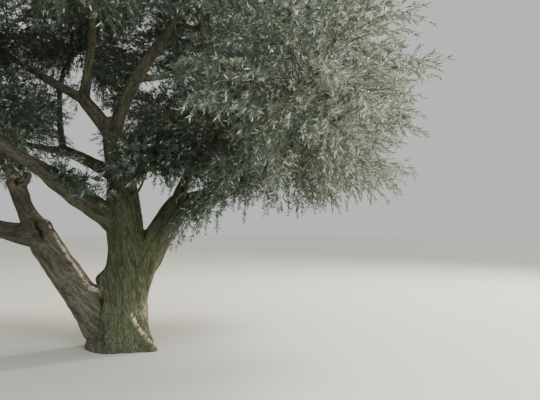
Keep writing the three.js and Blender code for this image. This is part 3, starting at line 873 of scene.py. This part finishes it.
def inside_tree(points):
    """Whether each point is within the box of the tree, with a little room."""
    low, high = (np.array(corner) for corner in cad_box)
    room = BOX_ROOM * (high - low)
    return np.all((points > low - room) & (points < high + room), axis=-1)


def joined(groups):
    """Several dicts of arrays, with the same keys, as one."""
    return {key: np.concatenate([group[key] for group in groups]) for key in groups[0]}


def grown_branches():
    """Branches of every mass: each leaves its stem for a place spread evenly round the heart, by the golden angle.

    The later kinds fill in between the first. Gives arrays of mass, number, kind, root and tip.
    """
    rows = []
    for limb in (limb for limb in SKELETON.values() if limb["to"]):
        mass = MASS_NAMES.index(limb["to"])
        heart, radius = HEARTS[mass], RADII[mass]
        number = 0
        for kind, rule in enumerate(BRANCHINGS):
            tries = max(math.floor(rule["count"] * (radius / FULL_SIZE) ** 2 + 0.5), rule["least"])
            for i in range(tries):
                roll = dice(mass, number)
                height = 1 - (2 * i + 1) / tries
                turn = i * GOLDEN_ANGLE + rule["shift"] + roll(0, BRANCH_TURN)
                level = math.sqrt(1 - height**2)
                way = np.array([level * math.cos(turn), level * math.sin(turn), height * SQUASH])
                share = limb["end"] + (1 - limb["end"]) * roll(*BRANCH_ROOTS)
                root = bezier(limb["ends"], [share])[0]
                reach = radius * roll(*rule["reach"])
                least = LEAST_REACH * radius
                while depth_in(mass, heart + way * reach) < rule["edge"] * radius and reach > least:
                    reach *= DRAWN_IN
                tip = heart + way * reach
                along = root + (tip - root) * BRANCH_MARKS
                if depth_in(mass, root) > BRANCH_ROOM and clear_of_limbs(along, CLEAR_OF_LIMBS["branch"]).all():
                    rows.append((mass, number, kind, root, tip))
                number += 1
    return tuple(np.array(column) for column in zip(*rows))


def grown_sprays(branches):
    """Sprays of every branch, as arrays. At each place along a branch the first few tries that fit are kept.

    A spray leaves its branch sideways, turned outwards from the heart and drooping a little.
    """
    *known, root, tip = (column[:, None, None] for column in branches)
    mass, number, kind, place, tried = np.broadcast_arrays(
        *known, np.arange(SPRAYS)[:, None], np.arange(SPRAY_TRIES)
    )
    shape = mass.shape
    at_tip = place == SPRAYS - 1
    most, first, scale = (np.array([rule[key] for rule in BRANCHINGS])[kind] for key in ("sprays", "first", "size"))
    most = most + (np.isin(mass, [MASS_NAMES.index(name) for name in DENSER]) & (kind == 0))
    side_roll = dice(mass, number, place, tried)
    tip_roll = dice(mass, number, place, tried)
    share = np.where(at_tip, TIP_SHARE, (place + side_roll(*SPRAY_SHIFT)) / SPRAYS)

    def roll(limits, tip_limits=None):
        """A number for each try, and between limits of its own where it is at the branch's tip."""
        return np.where(at_tip, tip_roll(*(tip_limits or limits)), side_roll(*limits))

    size = np.minimum(RADII[mass] / FULL_SIZE + SMALLER_BY, 1) * SHORTER**tried
    length = roll(SPRAY_LENGTH) * size * scale
    along = unit(np.broadcast_to(tip - root, shape + (3,)))
    across = turned(square_to(along), along, roll((0, 2 * math.pi)))
    lean = roll(SPRAY_LEAN, TIP_SPRAY_LEAN)
    start = root + (tip - root) * share[..., None]
    out = unit(start - HEARTS[mass])
    aim = along + across * lean[..., None] + SPRAY_OUTWARDS * out
    aim[..., 2] -= roll(SPRAY_DROOP)
    aim = unit(aim)
    stop = start + aim * length[..., None]
    flat = turned(square_to(aim), aim, roll((-SPRAY_TILT, SPRAY_TILT)))

    middle = start + SPRAY_WIDEST * (stop - start) + unit(np.cross(flat, aim)) * SPRAY_FOLD * length[..., None]
    half = flat * (SPRAY_WIDTH / 2 * length[..., None])
    fits = place >= first
    for corner in (start, stop, middle + half, middle - half):
        fits &= (depth_in(mass, corner) > CELL_GAP) & inside_tree(corner)
    for quarter in range(1, 5):
        mark = start + (stop - start) * quarter / 4
        fits &= clear_of_limbs(mark.reshape(-1, 3), CLEAR_OF_LIMBS["spray"]).reshape(shape)
    kept = fits & (np.cumsum(fits, axis=2) <= most)
    every = {
        "mass": mass, "kind": kind, "start": start, "stop": stop, "flat": flat, "length": length,
        "young": np.full(shape, False),
    }
    return {key: values[kept] for key, values in every.items()}


def young_sprays():
    """Sprays that grow straight from old limbs, as arrays like those of the branches.

    They start evenly spaced on the limb's middle line, and each turns a little from the way of them all.
    """
    groups = []
    for number, (limb, mass, count, (low, high), way) in enumerate(YOUNG_SPRAYS):
        roll = dice(number, np.arange(count))
        share = low + (high - low) * (np.arange(count) + roll()) / count
        start = bezier(SKELETON[limb]["ends"], share)
        aim = unit(np.array(way) + np.column_stack([roll(-YOUNG_STRAY, YOUNG_STRAY) for _ in range(3)]))
        length = roll(*YOUNG_LENGTH)
        groups.append({
            "mass": np.full(count, MASS_NAMES.index(mass)), "kind": np.full(count, YOUNG_KIND),
            "start": start, "stop": start + aim * length[:, None],
            "flat": turned(square_to(aim), aim, roll(-SPRAY_TILT, SPRAY_TILT)),
            "length": length, "young": np.full(count, True),
        })
    return joined(groups)


def curved_tubes(ends, girths, sides, rows):
    """Closed tubes along curves, by their roots, controls and tips, narrowing evenly from one girth to the other."""
    starts, _, stops = ends
    t = np.broadcast_to(np.linspace(0, 1, rows), (len(starts), rows))
    centre = bezier(ends, t)
    along = heading(ends, t)
    across = np.broadcast_to(square_to(unit(stops - starts))[:, None], along.shape)
    across = unit(across - np.sum(across * along, axis=-1, keepdims=True) * along)
    over = np.cross(along, across)
    angle = np.linspace(0, 2 * math.pi, sides, endpoint=False)
    first, last = girths
    radius = (first + (last - first) * t)[..., None, None]
    return tube_grid(rings_round(centre, across, over, angle, radius))


def cones(starts, stops, girth):
    """Slim three-sided cones: a ring of radius girth at each start, closed, and a point at each stop."""
    along = unit(stops - starts)
    across = square_to(along)
    ring = rings_round(starts, across, np.cross(along, across), np.arange(3) * 2 * math.pi / 3, girth)
    corners = np.concatenate([ring, stops[:, None]], axis=1)
    faces = np.array([(0, 2, 1), (0, 1, 3), (1, 2, 3), (2, 0, 3)])
    return corners.reshape(-1, 3), (faces[None] + 4 * np.arange(len(starts))[:, None, None]).reshape(-1, 3)


def spray_growth(sprays, shoots, leaves, random):
    """Shoots and leaves of every spray, as arrays.

    A spray's axis is a curve that droops at its tip. Shoots leave it left and right, shorter towards its tip, and
    bear their leaves in opposite pairs.
    """
    start, stop, flat, length = (sprays[key] for key in ("start", "stop", "flat", "length"))
    count = len(start)
    axis = bowed(start, stop, SPRAY_BOW * length[:, None] * UP)

    before, besides = SHOOT_ROOM
    u = (np.arange(shoots) + before) / (shoots + besides)
    u = np.clip(u + random.uniform(-SHOOT_SHIFT, SHOOT_SHIFT, (count, shoots)), FIRST_SHOOT, 1.0)
    base = bezier(axis, u)
    along = heading(axis, u)
    side = np.where(np.arange(shoots) % 2 == 0, 1.0, -1.0)[None, :, None]
    across = np.broadcast_to(flat[:, None], along.shape)
    over = np.cross(along, across)
    roll = random.uniform(-SHOOT_ROLL, SHOOT_ROLL, (count, shoots, 1))
    sideways = side * (across * np.cos(roll) + over * np.sin(roll))
    lean = random.uniform(*SHOOT_LEAN, (count, shoots, 1))
    lean[:, -1] *= LAST_LEAN
    aim = along + lean * sideways
    aim[..., 2] -= random.uniform(0.0, SHOOT_DROOP, (count, shoots))
    aim = unit(aim)
    low, high = SHOOT_REACH
    reach = (low + (high - low) * u) * random.uniform(*SHOOT_SIZES, u.shape) * np.sqrt(length[:, None])
    reach[:, -1] = LAST_REACH
    tip = base + aim * reach[..., None]
    shoot = bowed(base, tip, SHOOT_BOW * reach[..., None] * UP)

    pair = np.arange(leaves) // 2
    v = (pair + 1.0) / (leaves / 2) + random.uniform(-LEAF_SHIFT, LEAF_SHIFT, (count, shoots, leaves))
    v = np.clip(v, FIRST_LEAF, 1.0)
    leaf_base = bezier(shoot, v)
    leaf_along = heading(shoot, v)
    hand = np.where(np.arange(leaves) % 2 == 0, 1.0, -1.0)[:, None]
    whorl = np.where(pair % 2 == 0, *WHORLS)[:, None]
    whorl = whorl + random.uniform(-WHORL_SHIFT, WHORL_SHIFT, v.shape)[..., None]
    first = square_to(leaf_along)
    second = np.cross(leaf_along, first)
    sideways = hand * (first * np.cos(whorl) + second * np.sin(whorl))
    lean = random.uniform(*LEAF_LEAN, v.shape)[..., None]
    leaf_aim = unit(leaf_along + lean * sideways)
    leaf_roll = random.uniform(-LEAF_ROLL, LEAF_ROLL, v.shape)
    leaf_side = turned(unit(np.cross(leaf_along, sideways)), leaf_aim, leaf_roll)
    leaf_length = LEAF_LENGTH * random.uniform(*LEAF_SIZES, v.shape)
    return axis, base.reshape(-1, 3), tip.reshape(-1, 3), {
        "base": leaf_base.reshape(-1, 3), "aim": leaf_aim.reshape(-1, 3), "side": leaf_side.reshape(-1, 3),
        "length": leaf_length.ravel(),
    }


# The outline of a leaf, folded along its midrib: how far along, how far to the side in half-widths, and how far up.
LEAF_OUTLINE = np.array([(0.0, 0.0, 0.0), (0.4, -1.0, 0.045), (0.46, 1.0, 0.045), (1.0, 0.0, -0.04)])
LEAF_FACES = np.array([(0, 3, 2), (0, 1, 3)])


def leaf_grid(base, aim, side, length):
    """Lance-shaped leaves: the outline laid off along aim, side and the upright of the two."""
    up = np.cross(aim, side)
    size = length[:, None, None]
    along, across, lift = (LEAF_OUTLINE[:, i][None, :, None] for i in range(3))
    half = LEAF_WIDTH / LEAF_LENGTH / 2
    corners = base[:, None] + size * (along * aim[:, None] + half * across * side[:, None] + lift * up[:, None])
    faces = LEAF_FACES[None] + (np.arange(len(base)) * len(LEAF_OUTLINE))[:, None, None]
    return corners.reshape(-1, 3), faces.reshape(-1, 3)


# Materials
def colour(hex_code):
    """An sRGB hex value as linear red, green and blue."""
    parts = [int(hex_code[i:i + 2], 16) / 255 for i in (1, 3, 5)]
    linear = [c / 12.92 if c <= 0.04045 else ((c + 0.055) / 1.055) ** 2.4 for c in parts]
    return (*linear, 1.0)


def node(material, kind, inputs=None, stops=(), **settings):
    """Adds a node with its settings. Each input, by name or number, is linked to an output or set to a value, and a
    colour ramp gets its stops."""
    made = material.node_tree.nodes.new(kind)
    for key, value in settings.items():
        setattr(made, key, value)
    for key, value in (inputs or {}).items():
        if isinstance(value, bpy.types.NodeSocket):
            material.node_tree.links.new(value, made.inputs[key])
        else:
            made.inputs[key].default_value = value
    for _ in stops[2:]:
        made.color_ramp.elements.new(0.5)
    for number, (position, hex_code) in enumerate(stops):
        made.color_ramp.elements[number].position = position
        made.color_ramp.elements[number].color = colour(hex_code)
    return made


def new_material(name):
    """A material with nodes, and its shader."""
    material = bpy.data.materials.new(name)
    material.use_nodes = True
    return material, material.node_tree.nodes["Principled BSDF"]


def bark_material():
    """Old olive bark: dull and finely fissured, olive-brown, with pale reddish wood where it is worn that is partly a
    painted highlight, and with painted shade under the crown and in its hollows.
    """
    material, shader = new_material("old_olive_bark")
    links = material.node_tree.links
    attributes = {
        key: node(material, "ShaderNodeAttribute", attribute_name=key)
        for key in ("even_grain", "odd_grain", "odd", "furrow", "hollow", "worn_and_highlight", "brown", "painted_shade")
    }
    share = {key: made.outputs["Fac"] for key, made in attributes.items()}
    # Each noise is read on both sets of grain coordinates and mixed as the limbs are. A fissure lies where the first
    # is near its middle value, one every 32 mm or so across the grain; the second is the small flakes between.
    fine, flakes = (
        node(material, "ShaderNodeMix", {
            0: share["odd"],
            **{
                number: node(
                    material, "ShaderNodeTexNoise",
                    {"Vector": attributes[key].outputs["Vector"], "Scale": scale, "Detail": detail, "Roughness": rough},
                ).outputs["Fac"]
                for number, key in ((2, "even_grain"), (3, "odd_grain"))
            },
        }).outputs[0]
        for scale, detail, rough in ((1 / FISSURE, 3.0, 0.55), (120.0, 4.0, 0.65))
    )
    off_middle = node(material, "ShaderNodeMath", {0: fine, 1: 0.5}, operation="SUBTRACT").outputs[0]
    distance = node(material, "ShaderNodeMath", {0: off_middle}, operation="ABSOLUTE").outputs[0]
    place = node(material, "ShaderNodeTexCoord").outputs["Object"]
    patches = node(material, "ShaderNodeTexNoise", {"Vector": place, "Scale": 3.0, "Detail": 4.0, "Roughness": 0.6})
    olive, brown, pale, lichen, fissures = (
        node(material, "ShaderNodeValToRGB", {"Fac": factor}, stops).outputs["Color"]
        for factor, stops in (
            (flakes, ((0.3, "#474f31"), (0.5, "#58613f"), (0.72, "#6e7654"))),
            (flakes, ((0.3, "#5c5849"), (0.5, "#74705f"), (0.72, "#8f8b79"))),
            # pale worn wood, bright enough to be partly a painted highlight
            (flakes, ((0.35, "#a98a72"), (0.58, "#ffead4"))),
            (patches.outputs["Fac"], ((0.52, "#000000"), (0.68, "#8c8c8c"))),
            (distance, ((0.0, "#ffffff"), (0.07, "#000000"))),
        )
    )
    # What is laid over the olive, in order: its share, its colour, and how it is laid on
    base = olive
    for part, over, way in (
        (share["brown"], brown, "MIX"),
        (lichen, colour("#6b7058"), "MIX"),
        (fissures, colour("#918d84"), "MULTIPLY"),
        (share["furrow"], colour("#b3afa6"), "MULTIPLY"),
        # painted shade, darker under the crown and at the top of the left stem
        (share["painted_shade"], colour("#a9aba4"), "MULTIPLY"),
        # worn pale wood, partly a painted highlight on the crests and worn places
        (share["worn_and_highlight"], pale, "MIX"),
        # painted shade: near black in the middle of each hollow
        (share["hollow"], colour("#15110c"), "MIX"),
    ):
        layer = node(material, "ShaderNodeMix", {0: part, 6: base, 7: over}, data_type="RGBA", blend_type=way)
        base = layer.outputs[2]
    links.new(base, shader.inputs["Base Color"])
    shader.inputs["Roughness"].default_value = 0.88
    coarse = node(material, "ShaderNodeBump", {"Height": distance, "Strength": 0.9, "Distance": 0.018})
    scaly = node(material, "ShaderNodeBump", {
        "Height": flakes, "Normal": coarse.outputs["Normal"], "Strength": 0.7, "Distance": 0.01,
    })
    links.new(scaly.outputs["Normal"], shader.inputs["Normal"])
    return material


def twig_material():
    """Young olive wood: smooth grey bark."""
    material, shader = new_material("young_olive_bark")
    place = node(material, "ShaderNodeTexCoord").outputs["Object"]
    mottle = node(material, "ShaderNodeTexNoise", {"Vector": place, "Scale": 14.0, "Detail": 3.0})
    stops = ((0.35, "#4a463a"), (0.65, "#7a7565"))
    tint = node(material, "ShaderNodeValToRGB", {"Fac": mottle.outputs["Fac"]}, stops)
    material.node_tree.links.new(tint.outputs["Color"], shader.inputs["Base Color"])
    shader.inputs["Roughness"].default_value = 0.8
    return material


# Leaves are leathery, waxy above and with pale felt below, so each spray shows several tints, dealt out by painted
# light and shade by place; leaf_sunlit is a painted sunlit tint. The colour and the roughness of each:
LEAF_TINTS = {
    "leaf_deep": ("#434f3b", 0.42),
    "leaf_teal": ("#4c6057", 0.42),
    "leaf_sage": ("#646f5d", 0.45),
    "leaf_sunlit": ("#878e79", 0.45),
    "leaf_felt": ("#babfb8", 0.62),
}
TINT_STEPS = (-0.4, 0.12, 0.6)  # how much painted light a spray gets where one tint gives way to the next
TINT_SHIFTS = (-1, 0, 0, 0, 1)  # two in five leaves differ from their spray by one tint
# how much the painted light varies from spray to spray
PAINTED_LIGHT_SPREAD = 0.35
FELT_SHARE = {"least": 0.05, "most": 0.26, "middle": 0.1, "slope": 0.16}  # of a spray's leaves, by how much painted light it gets


def painted_light_by_place(places):
    """How much painted light and shade a spray gets by its place, lighter towards the right and the top and darker on
    the far side: 0.57 x + 0.08 z - 1.02, less 0.5 for each of the first 1.6 m behind the trunk, and -0.45 at least."""
    x, y, z = places.T
    return np.maximum(0.57 * x + 0.08 * z - 1.02 - 0.5 * np.clip(y, 0, 1.6), -0.45)


def leaf_materials():
    """A plain material for each tint."""
    made = []
    for name, (hex_code, roughness) in LEAF_TINTS.items():
        material, shader = new_material(name)
        shader.inputs["Base Color"].default_value = colour(hex_code)
        shader.inputs["Roughness"].default_value = roughness
        made.append(material)
    return made


# Trunk, stems and boughs
bark = bark_material()
for name, cover in SKINS.items():
    piece = skin(name, cover["limbs"], cover["mesh"], cover["rounding"], bark)
    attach(piece, "root")
    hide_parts(*cover["limbs"])

# Branches, twigs and leaves
random = np.random.default_rng(SEED)
branches = grown_branches()
sprays = joined([grown_sprays(branches), young_sprays()])
_, _, branch_kind, branch_roots, branch_tips = branches
young_wood = twig_material()
grown_leaves = []
for kind, rule in enumerate(BRANCHINGS):
    roots, tips = branch_roots[branch_kind == kind], branch_tips[branch_kind == kind]
    rise = BRANCH_RISE * np.linalg.norm(tips - roots, axis=1, keepdims=True) * UP
    some = {key: values[sprays["kind"] == kind] for key, values in sprays.items()}
    axis, shoot_roots, shoot_tips, leaves = spray_growth(some, rule["shoots"], rule["leaves"], random)
    shoot_mass, young = (np.repeat(some[key], rule["shoots"]) for key in ("mass", "young"))
    whole = inside_tree(shoot_tips) & (young | (depth_in(shoot_mass, shoot_tips) > -OVERREACH))
    vertices, faces = merged([
        curved_tubes(bowed(roots, tips, rise), rule["girth"], *rule["mesh"]),
        curved_tubes(axis, SPRAY_GIRTH, *SPRAY_MESH),
        cones(shoot_roots[whole], shoot_tips[whole], SHOOT_GIRTH),
    ])
    piece = mesh_object(rule["wood"], vertices, faces, [young_wood])
    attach(piece, "root")
    leaves["mass"] = np.repeat(shoot_mass, rule["leaves"])
    leaves["whole"] = np.repeat(whole, rule["leaves"])
    # The more painted light a spray gets, the more of its leaves show their pale felt
    lights = painted_light_by_place(some["stop"]) + random.normal(0, PAINTED_LIGHT_SPREAD, len(some["stop"]))
    lights = np.repeat(lights, rule["shoots"] * rule["leaves"])
    tint = np.digitize(lights, TINT_STEPS) + random.choice(TINT_SHIFTS, len(lights))
    felt, deepest, palest = (list(LEAF_TINTS).index(key) for key in ("leaf_felt", "leaf_deep", "leaf_sunlit"))
    share = np.clip(FELT_SHARE["middle"] + FELT_SHARE["slope"] * lights, FELT_SHARE["least"], FELT_SHARE["most"])
    felt_by_painted_light = random.random(len(lights)) < share
    leaves["tint"] = np.where(felt_by_painted_light, felt, np.clip(tint, deepest, palest))
    grown_leaves.append(leaves)

REGIONS = {
    "leaves_left": ("left", "left_middle"),
    "leaves_left_ends": ("left_front", "left_back"),
    "leaves_front_and_back": ("centre_front", "front", "back"),
    "leaves_right": ("right", "right_middle"),
    "leaves_right_ends": ("right_front", "right_back"),
    "leaves_upper_left": ("upper_left", "upper_left_back", "upper_left_front"),
    "leaves_upper_right": ("upper_right", "upper_right_back", "upper_right_front"),
    "leaves_top": ("top", "top_right"),
}

leaves = joined(grown_leaves)
leaf_tips = leaves["base"] + leaves["aim"] * leaves["length"][:, None]
kept = leaves["whole"] & inside_tree(leaf_tips) & clear_of_limbs(leaf_tips, CLEAR_OF_LIMBS["leaf"])
leaf_colours = leaf_materials()
for name, masses in REGIONS.items():
    mine = kept & np.isin(leaves["mass"], [MASS_NAMES.index(m) for m in masses])
    vertices, faces = leaf_grid(*(leaves[key][mine] for key in ("base", "aim", "side", "length")))
    index = np.repeat(leaves["tint"][mine], len(LEAF_FACES))
    piece = mesh_object(name, vertices, faces, leaf_colours, index, smooth=False)
    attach(piece, "root")
    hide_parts(*["foliage_" + m for m in masses])

# Studio
FLOOR_HALF = 150.0
floor_material, floor_shader = new_material("pale_floor")
floor_shader.inputs["Base Color"].default_value = colour("#d9dad2")
floor_shader.inputs["Roughness"].default_value = 0.9
floor = mesh_object(
    "floor",
    np.array([[-1, -1, 0], [1, -1, 0], [1, 1, 0], [-1, 1, 0]]) * FLOOR_HALF - np.array([0, 0, 0.001]),
    np.array([[0, 1, 2], [0, 2, 3]]),
    [floor_material],
)

world = bpy.data.worlds.new("studio")
bpy.context.scene.world = world
world.use_nodes = True
world.node_tree.nodes["Background"].inputs["Color"].default_value = colour("#dfe3e0")
world.node_tree.nodes["Background"].inputs["Strength"].default_value = 0.85


def light(name, kind, place, target, power, hex_code, softness):
    """A soft light at a place, facing a target: a square one of a given side, or a sun of a given angle."""
    lamp = bpy.data.lights.new(name, kind)
    if kind == "SUN":
        lamp.angle = softness
    else:
        lamp.size = softness
    lamp.energy = power
    lamp.color = colour(hex_code)[:3]
    x, y, z = np.array(target, float) - np.array(place, float)
    light_object = placed(name, lamp)
    light_object.location = place
    light_object.rotation_euler = (math.atan2(math.hypot(x, y), -z), 0, math.atan2(-x, y))


light("key", "AREA", (11, 7, 12), (0, 0, 3), 3900, "#fff4e2", 6)
light("fill", "AREA", (9, -9, 6), (1.5, 0, 3), 1500, "#eef1f6", 8)
light("low", "SUN", (8, 7, 3.7), (-0.6, 0, 1.1), 2.6, "#ffebd6", math.radians(6))

# Camera, at eye height in front of the tree and to its right, as the photograph was taken
EYE = (1.96, -7.05, 1.5)
PITCH = math.atan(30 / 540)  # the horizon is 30 pixels below the middle, and the lens is as long as 540 of them
lens = bpy.data.cameras.new("camera")
lens.lens = 36
lens.sensor_width = 36
lens.clip_end = 500
camera = placed("camera", lens)
camera.location = EYE
camera.rotation_euler = (math.pi / 2 + PITCH, 0, 0)
bpy.context.scene.camera = camera
